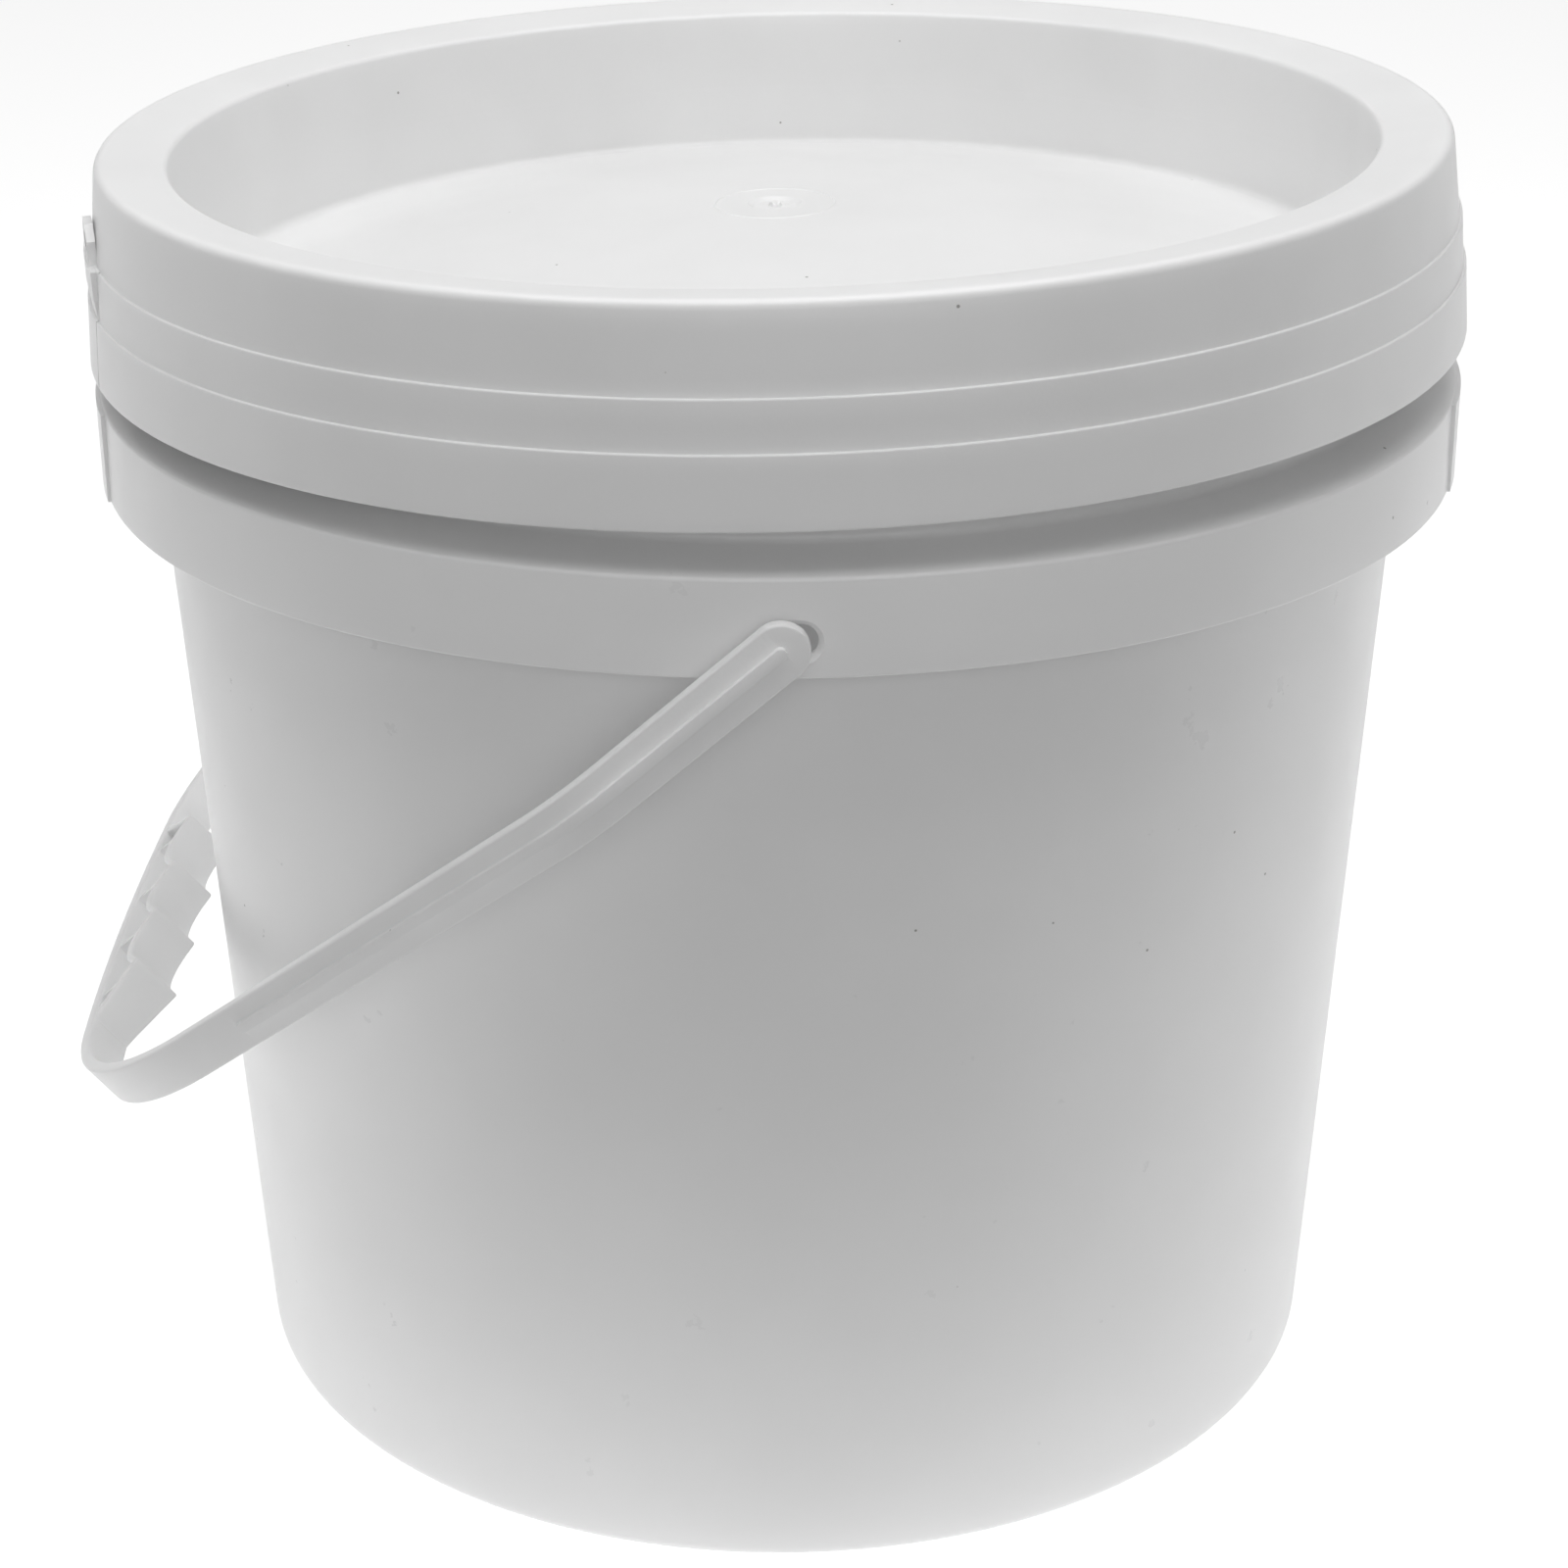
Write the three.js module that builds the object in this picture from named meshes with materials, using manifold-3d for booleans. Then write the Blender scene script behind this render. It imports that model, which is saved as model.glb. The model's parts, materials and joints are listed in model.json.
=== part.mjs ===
// White moulded bucket with a press-on lid and a swing handle.
// Millimetres, +Z up. The origin is the middle of the base, on the bucket's axis.
// The handle turns about the Y direction and hangs towards -X.

import * as THREE from "three";
import { mergeVertices } from "three/addons/utils/BufferGeometryUtils.js";
import Module from "manifold-3d";

const wasm = await Module();
wasm.setup();

const degree = Math.PI / 180;
const roundSteps = 60;        // flats round a full turn
const cornerSteps = 3;        // flats round a small corner
const clearance = 0.35;       // air between pieces that touch or run in each other
const bite = 0.8;             // how far an added feature reaches into its wall

// Bucket
const baseRadius = 112.9;
const bodyHeight = 251.5;
const wallDraft = 3.15;       // degrees
const wall = 1.8;
const floorThickness = 2.2;
const footCorner = 2.2;
const floorCorner = 5;
const footWidth = 9;          // width of the ring that the bucket stands on
const centrePadRadius = 30;
const baseRecess = 1.2;
const beadWidth = 1.5;        // how far the mouth's bead stands out of the wall
const beadHeight = 6;
const rimCorner = 0.8;

// Collar round the bucket, open underneath, with webs inside
const collarSetback = 1.2;    // the collar's top edge stands in from the lid's lower edge
const collarDrop = 42;        // mouth down to the collar's top edge
const collarHeight = 17.6;
const collarDraft = 1.0;      // degrees
const collarWall = 1.8;
const ledgeRise = 3.5;        // the ledge climbs by this much from its edge to the wall
const ledgeCorner = 0.8;
const webCount = 24;
const webThickness = 1.2;
const webInset = 2.2;         // webs stop short of the collar's lower edge by this much
const stoutWebAngles = [45, 135, 225, 315];
const stoutWebThickness = 2;
const cheekProud = 0.5;       // the collar's two side sectors stand out a little
const cheekFrom = 73;         // degrees from the handle's pivots
const cheekTo = 107;

// Lid
const lidOverhang = 6.76;     // the lid's lower edge stands out from the mouth's bead
const lidHeight = 38.2;
const lidWall = 1.6;
const lidRimSetback = 4.9;    // lower edge in to the rim's outer corner
const lidRimWidth = 13.1;
const lidRimFall = 1.9;       // the rim's top is lower at its inner edge
const lidStepHeights = [13.1, 22.2];
const lidStepWidth = 0.6;
const lidBandDraft = 3.5;     // degrees
const recessFloor = 7;        // height of the panel's edge over the lid's lower edge
const recessKink = 20.1;      // the recess wall is steeper above this height
const recessUpperLean = 0.6;  // the recess wall leans in by this much from the rim to the kink
const recessLowerLean = 1.3;  // and by this much from the kink to the panel
const domeRise = 14.7;
const domeStations = [0.28, 0.52, 0.78];  // shares of the panel's radius where the dome has a ring
const panelCorner = 1.6;
const rimInnerCorner = 1.2;
const rimOuterCorner = 1.8;
const snapRidge = 0.5;
const gateDishRadius = 5;
const gateDishDepth = 0.7;
const gateNubRadius = 1;
const gateNubHeight = 0.8;
const lidTilt = 1.0;          // degrees, the lid sits proud on the +X side

// Tear strip start and pull tab in the lid's skirt, on the -X side
const stripSlitAngle = 71;    // degrees from the front pivot
const stripSlitWidth = 0.8;
const pullTabFrom = 71.6;
const pullTabTo = 88;
const pullTabProud = 0.5;
const tabSlitAngle = 82;
const tabSlitHeight = 6;
const windowAngle = 76.5;
const windowWidth = 8.5;
const windowHeight = 3.8;
const windowFrame = 2.2;      // width of the raised frame round the window

// Handle
const pivotDrop = 11.1;       // collar's top edge down to the pivots
const restAngle = 40.6;       // degrees below level
const handleReach = 183.6;    // pivot axis to the outside of the grip
const strapWidth = 10.2;
const strapGripWidth = 9.4;
const strapThickness = 2.6;
const strapGap = 2.5;         // air between the collar and the strap
const shoulderStart = 37;     // straight length beyond the pivot
const shoulderRadius = 50;
const shoulderTurn = 21;      // degrees
const gripCornerRadius = 58;
const gripBow = 5;            // degrees turned by each half of the grip
const ribWidth = 2.8;
const ribHeight = 0.9;
const ribReach = 130;
const fingerPitch = 24;
const fingerCount = 3;
const fingerDepth = 4;
const fingerPlateWidth = 11.6;
const fingerPlateThickness = 1.8;
const crestDepth = 15.2;      // outside of the grip to the crests between the fingers
const fingerRampLength = 12;
const pocketRibThickness = 1.2;
const pegRadius = 2.4;
const headRadius = 3.7;
const headThickness = 1.6;
const slotTravel = 3.5;       // the hole in the collar is this much longer than it is high
const slotChamfer = 1.15;

// Worked out
const draftSlope = Math.tan(wallDraft * degree);
const wallOuter = (z) => baseRadius + z * draftSlope;
const wallInner = (z) => wallOuter(z) - wall;
const lidRadius = wallOuter(bodyHeight) + beadWidth + lidOverhang;
const lidRimOuter = lidRadius - lidRimSetback;
const lidRimInner = lidRimOuter - lidRimWidth;
const recessKinkRadius = lidRimInner - recessUpperLean;
const recessRadius = recessKinkRadius - recessLowerLean;
const collarRadius = lidRadius - collarSetback;
const collarTop = bodyHeight - collarDrop;
const collarBottom = collarTop - collarHeight;
const pivotHeight = collarTop - pivotDrop;
const collarOuter = (z) => collarRadius + (collarTop - z) * Math.tan(collarDraft * degree);
const ledgeRoot = collarTop + ledgeRise;
const ledgeSlope = ledgeRise / (collarRadius - wallOuter(ledgeRoot));
const ledgeUnder = (r) => collarTop - collarWall + (collarRadius - r) * ledgeSlope;
const slotRadius = pegRadius + clearance + 0.15;
const recessWallRadius = recessRadius + lidWall;
const seatRadius = wallOuter(bodyHeight);
const rimSlope = lidRimFall / (lidRimOuter - lidRimInner);
const rimUnder = (r) => lidHeight - (lidRimOuter - r) * rimSlope - lidWall;
const lidLift = bodyHeight + clearance + seatRadius * Math.sin(lidTilt * degree) - rimUnder(seatRadius);
const strapFace = collarOuter(pivotHeight) + strapGap + strapThickness;

const polypropylene = () =>
  new THREE.MeshStandardMaterial({ color: "#e9eaeb", roughness: 0.32, metalness: 0 });

// Corners are [radius, height, rounding]; each rounding is an arc that touches both sides.
function rounded(corners) {
  const points = [];
  corners.forEach(([r, z, rounding = 0], i) => {
    const here = new THREE.Vector2(r, z);
    if (rounding === 0) {
      points.push(here);
      return;
    }
    const towards = (j) => new THREE.Vector2(corners[j][0], corners[j][1]).sub(here);
    const back = towards(i - 1);
    const ahead = towards(i + 1);
    const room = Math.min(back.length(), ahead.length()) / 2;
    back.normalize();
    ahead.normalize();
    const halfAngle = Math.acos(back.dot(ahead)) / 2;
    const reach = Math.min(rounding / Math.tan(halfAngle), room);
    const radius = reach * Math.tan(halfAngle);
    const centre = here.clone().addScaledVector(
      back.clone().add(ahead).normalize(), radius / Math.sin(halfAngle));
    const start = here.clone().addScaledVector(back, reach).sub(centre);
    const end = here.clone().addScaledVector(ahead, reach).sub(centre);
    const sweep = Math.atan2(start.cross(end), start.dot(end));
    for (let k = 0; k <= cornerSteps; k += 1) {
      const spoke = start.clone().rotateAround(new THREE.Vector2(), sweep * k / cornerSteps);
      points.push(spoke.add(centre));
    }
  });
  return points;
}

// A closed surface as a solid with its faces outwards.
function solid(geometry) {
  const bare = geometry.clone();
  bare.deleteAttribute("normal");
  bare.deleteAttribute("uv");
  const merged = mergeVertices(bare);
  const place = merged.attributes.position.array;
  const index = merged.index.array;
  const faces = [];
  let volume = 0;
  for (let i = 0; i < index.length; i += 3) {
    const [a, b, c] = index.slice(i, i + 3);
    if (a === b || b === c || c === a) continue;
    faces.push([a, b, c]);
    const [p, q, s] = [a, b, c].map((n) => new THREE.Vector3().fromArray(place, 3 * n));
    volume += p.dot(q.cross(s));
  }
  if (volume < 0) faces.forEach((face) => face.reverse());
  return new wasm.Manifold(new wasm.Mesh({
    numProp: 3,
    vertProperties: new Float32Array(place),
    triVerts: new Uint32Array(faces.flat()),
  }));
}

function revolved(corners) {
  const lathe = new THREE.LatheGeometry(rounded(corners), roundSteps);
  return solid(lathe.rotateX(90 * degree));
}

// An outline in the XZ plane, made thick along Y and centred on it.
function slab(shape, thickness, options = {}) {
  const extruded = new THREE.ExtrudeGeometry(
    shape, { depth: thickness, bevelEnabled: false, curveSegments: 8, ...options });
  return extruded.translate(0, 0, -thickness / 2).rotateX(90 * degree);
}

// Angles round the bucket run from the front pivot, at -Y, towards -X.
function turned(geometry, angle) {
  return geometry.rotateZ((180 - angle) * degree);
}

function ringSector(inner, outer, low, high, from, to) {
  const start = (-90 - from) * degree;
  const end = (-90 - to) * degree;
  const shape = new THREE.Shape();
  shape.absarc(0, 0, outer, start, end, true);
  shape.absarc(0, 0, inner, end, start, false);
  const sector = new THREE.ExtrudeGeometry(
    shape, { depth: high - low, bevelEnabled: false, curveSegments: 6 });
  return solid(sector.translate(0, 0, low));
}

function obround(from, to, radius) {
  const shape = new THREE.Shape();
  shape.absarc(to, 0, radius, -90 * degree, 90 * degree, false);
  shape.absarc(from, 0, radius, 90 * degree, 270 * degree, false);
  return shape;
}

function meshOf(name, body) {
  const { vertProperties, triVerts } = body.getMesh();
  const geometry = new THREE.BufferGeometry();
  geometry.setAttribute("position", new THREE.BufferAttribute(vertProperties, 3));
  geometry.setIndex(new THREE.BufferAttribute(triVerts, 1));
  geometry.computeVertexNormals();
  const mesh = new THREE.Mesh(geometry, polypropylene());
  mesh.name = name;
  return mesh;
}

// The bucket is one moulding: floor, wall, mouth bead and the collar that carries the handle.
function bucketBody() {
  const footInner = baseRadius - footWidth;
  const underLedge = ledgeUnder(wallOuter(ledgeRoot));
  const skirtInner = (z) => collarOuter(z) - collarWall;
  const beadLow = bodyHeight - beadHeight;
  const beadOuter = wallOuter(bodyHeight) + beadWidth;
  let body = revolved([
    [0, 0],
    [centrePadRadius, 0],
    [centrePadRadius + baseRecess, baseRecess],
    [footInner - baseRecess, baseRecess],
    [footInner, 0],
    [baseRadius, 0, footCorner],
    [wallOuter(underLedge), underLedge, 1.5],
    [skirtInner(collarTop), ledgeUnder(skirtInner(collarTop)), 1.5],
    [skirtInner(collarBottom), collarBottom],
    [collarOuter(collarBottom), collarBottom],
    [collarRadius, collarTop, ledgeCorner],
    [wallOuter(ledgeRoot), ledgeRoot, 1.5],
    [wallOuter(beadLow), beadLow],
    [beadOuter, beadLow + beadWidth],
    [beadOuter, bodyHeight, rimCorner],
    [wallInner(bodyHeight), bodyHeight, rimCorner],
    [wallInner(floorThickness), floorThickness, floorCorner],
    [footInner, floorThickness],
    [footInner - baseRecess, floorThickness + baseRecess],
    [centrePadRadius + baseRecess, floorThickness + baseRecess],
    [centrePadRadius, floorThickness],
    [0, floorThickness],
  ]);

  const web = (angle, thickness) => {
    const low = collarBottom + webInset;
    const inner = wallOuter(collarTop) - bite;
    const outer = skirtInner(collarTop) + bite;
    const outline = new THREE.Shape([
      new THREE.Vector2(inner, low),
      new THREE.Vector2(outer, low),
      new THREE.Vector2(outer, ledgeUnder(outer) + bite),
      new THREE.Vector2(inner, ledgeUnder(inner) + bite),
    ]);
    return solid(slab(outline, thickness).rotateZ(angle * degree));
  };
  for (let i = 0; i < webCount; i += 1) {
    body = body.add(web((i + 0.5) * 360 / webCount, webThickness));
  }
  for (const angle of stoutWebAngles) {
    body = body.add(web(angle, stoutWebThickness));
  }

  for (const side of [0, 180]) {
    body = body.add(ringSector(
      collarRadius - bite, collarOuter(collarBottom) + cheekProud,
      collarBottom, collarTop - ledgeCorner / 2, cheekFrom + side, cheekTo + side));
  }

  for (const side of [-1, 1]) {
    const face = collarOuter(pivotHeight);
    const through = slab(obround(0, slotTravel, slotRadius), 4 * collarWall);
    through.translate(0, side * (face - collarWall / 2), pivotHeight);
    const sunk = slab(obround(0, slotTravel, slotRadius), slotChamfer, {
      bevelEnabled: true, bevelThickness: slotChamfer, bevelSize: slotChamfer, bevelSegments: 1 });
    sunk.translate(0, side * (face + slotChamfer / 2), pivotHeight);
    body = body.subtract(solid(through)).subtract(solid(sunk));
  }
  return meshOf("bucket_body", body);
}

// The lid is one moulding too. Its heights run from its own lower edge.
function lid() {
  const [lowStep, highStep] = lidStepHeights;
  const bandSlope = Math.tan(lidBandDraft * degree);
  const lowBandTop = lidRadius - lowStep * bandSlope;
  const midBandLow = lowBandTop - lidStepWidth;
  const midBandTop = midBandLow - (highStep - lowStep) * bandSlope;
  const highBandLow = midBandTop - lidStepWidth;
  const ridge = highBandLow - lidWall - snapRidge;
  const dome = (r) => recessFloor + domeRise * (1 - (r / recessRadius) ** 2);
  const domeRings = domeStations.map((share) => share * recessRadius);
  const domeUnder = domeRings.map((r) => [r, dome(r) - lidWall]);
  const domeTop = [gateDishRadius, ...domeRings].reverse().map((r) => [r, dome(r)]);
  const dishFloor = dome(0) - gateDishDepth;
  let body = revolved([
    [0, dome(0) - lidWall - gateDishDepth],
    [gateDishRadius, dome(gateDishRadius) - lidWall - gateDishDepth],
    ...domeUnder,
    [recessWallRadius, recessFloor - lidWall, panelCorner],
    [recessKinkRadius + lidWall, recessKink],
    [lidRimInner + lidWall, rimUnder(lidRimInner), rimInnerCorner],
    [lidRimOuter - lidWall, rimUnder(lidRimOuter), rimOuterCorner],
    [ridge + snapRidge, highStep + 2 * snapRidge],
    [ridge, highStep],
    [midBandTop - lidWall, highStep - 2 * snapRidge],
    [midBandLow - lidWall, lowStep],
    [lidRadius - lidWall, 0],
    [lidRadius, 0],
    [lowBandTop, lowStep],
    [midBandLow, lowStep],
    [midBandTop, highStep],
    [highBandLow, highStep],
    [lidRimOuter + lidStepWidth, lidHeight, rimOuterCorner],
    [lidRimInner, lidHeight - lidRimFall, rimInnerCorner],
    [recessKinkRadius, recessKink],
    [recessRadius, recessFloor, panelCorner],
    ...domeTop,
    [gateDishRadius - gateDishDepth, dishFloor],
    [gateNubRadius, dishFloor],
    [gateNubRadius, dishFloor + gateNubHeight],
    [0, dishFloor + gateNubHeight],
  ]);

  body = body.add(ringSector(
    midBandLow - bite, midBandLow + pullTabProud,
    lowStep + pullTabProud, highStep, pullTabFrom, pullTabTo));

  const hexagon = (width, height) => {
    const [w, h] = [width / 2, height / 2];
    return new THREE.Shape([
      new THREE.Vector2(-w, -h), new THREE.Vector2(w, -h), new THREE.Vector2(w, h / 3),
      new THREE.Vector2(w / 2, h), new THREE.Vector2(-w / 2, h), new THREE.Vector2(-w, h / 3),
    ]);
  };
  const windowMiddle = highStep + windowFrame / 2 + windowHeight / 2;
  const frameBlock = slab(hexagon(windowWidth + 2 * windowFrame, windowHeight + 2 * windowFrame), lidWall);
  frameBlock.translate(0, midBandLow - lidWall / 2, windowMiddle);
  body = body.add(solid(turned(frameBlock, windowAngle)));
  const windowCut = slab(hexagon(windowWidth, windowHeight), 6 * lidWall);
  windowCut.translate(0, midBandLow, windowMiddle);
  body = body.subtract(solid(turned(windowCut, windowAngle)));

  const slit = (angle, low, high) => {
    const box = new THREE.BoxGeometry(stripSlitWidth, 6 * lidWall, high - low);
    box.translate(0, lidRadius - lidWall, (low + high) / 2);
    return solid(turned(box, angle));
  };
  body = body.subtract(slit(stripSlitAngle, -bite, highStep));
  body = body.subtract(slit(tabSlitAngle, highStep - tabSlitHeight, highStep - bite));

  const mesh = meshOf("lid", body);
  mesh.position.z = lidLift;
  mesh.rotation.y = -lidTilt * degree;
  return mesh;
}

// The handle's plan: its outside face, or a line set in from it, as points at x = -reach.
// Each half is a straight arm, a shoulder bend, a sloping arm, a corner and half the bowed grip.
function handleLine(inset) {
  const shoulder = shoulderTurn * degree;
  const square = 90 * degree;
  const bow = gripBow * degree;
  const alongLeft = handleReach - shoulderStart - shoulderRadius * Math.sin(shoulder)
    - gripCornerRadius * (Math.cos(bow) - Math.sin(shoulder));
  const acrossLeft = strapFace - shoulderRadius * (1 - Math.cos(shoulder))
    - gripCornerRadius * (Math.cos(shoulder) - Math.sin(bow));
  const bowAlong = 1 - Math.cos(bow);
  const bowAcross = Math.sin(bow);
  const spread = Math.cos(shoulder) * bowAcross - Math.sin(shoulder) * bowAlong;
  const slopingLength = (alongLeft * bowAcross - acrossLeft * bowAlong) / spread;
  const bowRadius = (acrossLeft * Math.cos(shoulder) - alongLeft * Math.sin(shoulder)) / spread;

  const half = [];
  let along = -strapWidth;
  let across = -strapFace;
  let heading = 0;
  const put = () => half.push(new THREE.Vector2(
    -(along - inset * Math.sin(heading)), across + inset * Math.cos(heading)));
  const straight = (length) => {
    along += length * Math.cos(heading);
    across += length * Math.sin(heading);
    put();
  };
  const bend = (radius, turn, steps) => {
    for (let k = 0; k < steps; k += 1) {
      const next = heading + turn / steps;
      along += radius * (Math.sin(next) - Math.sin(heading));
      across += radius * (Math.cos(heading) - Math.cos(next));
      heading = next;
      put();
    }
  };
  put();
  straight(strapWidth + shoulderStart);
  bend(shoulderRadius, shoulder, 4);
  straight(slopingLength);
  bend(gripCornerRadius, square - bow - shoulder, 10);
  bend(bowRadius, bow, 3);
  const other = half.slice(0, -1).reverse().map((p) => new THREE.Vector2(p.x, -p.y));
  return [...half, ...other];
}

function band(outerInset, innerInset, width) {
  const shape = new THREE.Shape([...handleLine(outerInset), ...handleLine(innerInset).reverse()]);
  const extruded = new THREE.ExtrudeGeometry(shape, { depth: width, bevelEnabled: false });
  return solid(extruded.translate(0, 0, -width / 2));
}

// The finger plate's hand side: an arc for each finger between crests, in plan.
function fingerLine(inset) {
  const crest = handleReach - crestDepth;
  const halfPitch = fingerPitch / 2;
  const arcRadius = (halfPitch ** 2 + fingerDepth ** 2) / (2 * fingerDepth);
  const steps = 6;
  const points = [];
  for (let finger = 0; finger < fingerCount; finger += 1) {
    const middle = (finger - (fingerCount - 1) / 2) * fingerPitch;
    for (let k = finger === 0 ? 0 : 1; k <= steps; k += 1) {
      const y = halfPitch * (2 * k / steps - 1);
      const hollow = fingerDepth - arcRadius + Math.sqrt(arcRadius ** 2 - y ** 2);
      points.push(new THREE.Vector2(-(crest + hollow + inset), middle + y));
    }
  }
  return points;
}

function handle() {
  const handSide = fingerLine(0);
  const farSide = fingerLine(fingerPlateThickness);
  const last = handSide.length - 1;
  const strapInside = -(handleReach - strapThickness / 2);
  const rampEnd = handSide[last].y + fingerRampLength;
  const plateShape = new THREE.Shape([
    new THREE.Vector2(strapInside, -rampEnd),
    ...handSide,
    new THREE.Vector2(strapInside, rampEnd),
    new THREE.Vector2(strapInside, rampEnd - 2 * fingerPlateThickness),
    ...farSide.reverse(),
    new THREE.Vector2(strapInside, 2 * fingerPlateThickness - rampEnd),
  ]);
  const across = (shape, width) => {
    const extruded = new THREE.ExtrudeGeometry(shape, { depth: width, bevelEnabled: false });
    return solid(extruded.translate(0, 0, -width / 2));
  };

  const face = new THREE.Shape();
  face.absarc(0, 0, strapWidth / 2, -90 * degree, 90 * degree, false);
  face.lineTo(-ribReach, strapGripWidth / 2);
  face.lineTo(-handleReach - strapWidth, strapGripWidth / 2);
  face.lineTo(-handleReach - strapWidth, -strapGripWidth / 2);
  face.lineTo(-ribReach, -strapGripWidth / 2);
  const whole = 2 * strapFace + strapWidth;
  let body = band(0, strapThickness, 2 * strapWidth).intersect(solid(slab(face, whole)));

  const ribMask = solid(slab(obround(-ribReach, 0, ribWidth / 2), whole));
  body = body.add(band(-ribHeight, strapThickness / 2, ribWidth).intersect(ribMask));

  // the plate and the ribs behind its crests end inside the strap, which bows in towards its corners
  const insideStrap = across(new THREE.Shape(handleLine(strapThickness / 2)), 2 * strapWidth);
  body = body.add(across(plateShape, fingerPlateWidth).intersect(insideStrap));
  const ribLength = crestDepth - fingerPlateThickness / 2;
  for (let crest = 0; crest <= fingerCount; crest += 1) {
    const y = (crest - fingerCount / 2) * fingerPitch;
    const rib = new THREE.BoxGeometry(ribLength, pocketRibThickness, strapGripWidth - 1);
    rib.translate(-(handleReach - ribLength / 2), y, 0);
    body = body.add(solid(rib).intersect(insideStrap));
  }

  for (const side of [-1, 1]) {
    const skirtInside = collarOuter(pivotHeight) - collarWall;
    const headOuter = skirtInside - clearance;
    const pegOuter = strapFace - strapThickness / 2;
    const peg = new THREE.CylinderGeometry(pegRadius, pegRadius, pegOuter - headOuter + bite, 24);
    peg.translate(0, side * (pegOuter + headOuter - bite) / 2, 0);
    const head = new THREE.CylinderGeometry(headRadius, headRadius, headThickness, 24);
    head.translate(0, side * (headOuter - headThickness / 2), 0);
    body = body.add(solid(peg)).add(solid(head));
  }

  const mesh = meshOf("handle", body);
  mesh.position.z = pivotHeight;
  mesh.rotation.y = -restAngle * degree;
  return mesh;
}

const bucket = new THREE.Group();
bucket.add(bucketBody(), lid(), handle());

export default bucket;
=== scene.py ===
import json
import math

import bmesh
import bpy
import numpy as np
from mathutils import Matrix, Vector


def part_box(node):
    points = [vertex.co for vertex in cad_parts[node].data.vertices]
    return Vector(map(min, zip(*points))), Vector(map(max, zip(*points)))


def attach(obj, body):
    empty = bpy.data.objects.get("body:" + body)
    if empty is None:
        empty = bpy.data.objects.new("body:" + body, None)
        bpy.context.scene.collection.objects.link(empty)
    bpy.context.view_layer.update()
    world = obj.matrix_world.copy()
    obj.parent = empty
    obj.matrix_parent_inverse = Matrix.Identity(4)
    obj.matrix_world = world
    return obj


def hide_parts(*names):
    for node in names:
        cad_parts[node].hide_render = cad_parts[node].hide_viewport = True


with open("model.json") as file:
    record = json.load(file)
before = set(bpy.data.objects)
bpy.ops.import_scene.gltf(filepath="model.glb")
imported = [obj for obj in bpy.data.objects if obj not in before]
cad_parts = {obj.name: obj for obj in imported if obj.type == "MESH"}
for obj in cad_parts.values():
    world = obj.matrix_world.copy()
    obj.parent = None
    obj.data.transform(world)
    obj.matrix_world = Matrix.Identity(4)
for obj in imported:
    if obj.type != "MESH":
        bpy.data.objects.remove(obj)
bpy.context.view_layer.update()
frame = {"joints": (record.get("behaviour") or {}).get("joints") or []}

# A white moulded bucket with its lid on and its handle down, on a lit table.
# Shapes are worked out in millimetres and scaled to metres when a mesh is made.
# Places round the bucket are angles from the front pivot, at -Y, towards -X.

metres = 0.001
roundSteps = 320  # columns of every turned surface
cornerSteps = 5
tau = 2 * math.pi
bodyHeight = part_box("bucket_body")[1].z / metres
swing = [joint for joint in frame["joints"] if joint["name"] == "handle_swing"][0]
pivotHeight = swing["pos_m"][2] / metres


# Shared shape functions

def roundCorners(corners, steps=cornerSteps):
    # Each corner (radius, height, rounding) becomes an arc that touches both of its sides. Its centre
    # lies on the bisector, rounding / sin(half angle) from the corner, and the arc turns from one
    # touching point to the other in equal steps. A rounding of 0 keeps the corner as it is.
    table = np.array([(*corner, 0)[:3] for corner in corners], float)
    here, rounding = table[:, :2], table[:, 2]
    back, ahead = np.roll(here, 1, 0) - here, np.roll(here, -1, 0) - here
    backLength, aheadLength = np.linalg.norm(back, axis=1), np.linalg.norm(ahead, axis=1)
    back, ahead = back / backLength[:, None], ahead / aheadLength[:, None]
    halfAngle = np.arccos(np.clip((back * ahead).sum(1), -1, 1)) / 2
    reach = np.minimum(rounding / np.tan(halfAngle), np.minimum(backLength, aheadLength) / 2)
    bisector = back + ahead
    bisector /= np.maximum(np.linalg.norm(bisector, axis=1), 1e-9)[:, None]
    centre = here + bisector * (reach * np.tan(halfAngle) / np.sin(halfAngle))[:, None]
    start, end = here + back * reach[:, None] - centre, here + ahead * reach[:, None] - centre
    sweep = np.arctan2(start[:, 0] * end[:, 1] - start[:, 1] * end[:, 0], (start * end).sum(1))
    share = np.linspace(0, 1, steps + 1)
    turn = sweep[:, None] * share
    x = centre[:, :1] + start[:, :1] * np.cos(turn) - start[:, 1:] * np.sin(turn)
    y = centre[:, 1:] + start[:, :1] * np.sin(turn) + start[:, 1:] * np.cos(turn)
    kept = (rounding > 0)[:, None] | (share == 0)
    return np.stack([x[kept], y[kept]], axis=1)


def finer(profile, step):
    # The same line with points added by length, so that no stretch is much longer than step.
    along = np.r_[0, np.cumsum(np.linalg.norm(np.diff(profile, axis=0), axis=1))]
    extra = np.arange(step, along[-1], step)
    extra = extra[np.abs(extra[:, None] - along).min(1) > step / 3]
    stations = np.sort(np.r_[along, extra])
    return np.stack([np.interp(stations, along, profile[:, k]) for k in (0, 1)], axis=1)


def roundAngles(edges=(), half=0.06):
    # Even angles round a full turn, with a close pair of columns at each edge of a raised sector.
    even = np.arange(roundSteps) * tau / roundSteps
    pairs = np.radians([270 - edge + side for edge in edges for side in (-half, half)]) % tau
    near = np.abs(even[:, None] - pairs).min(1) if len(pairs) else np.full(roundSteps, tau)
    return np.sort(np.r_[even[near > tau / roundSteps / 4], pairs])


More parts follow.
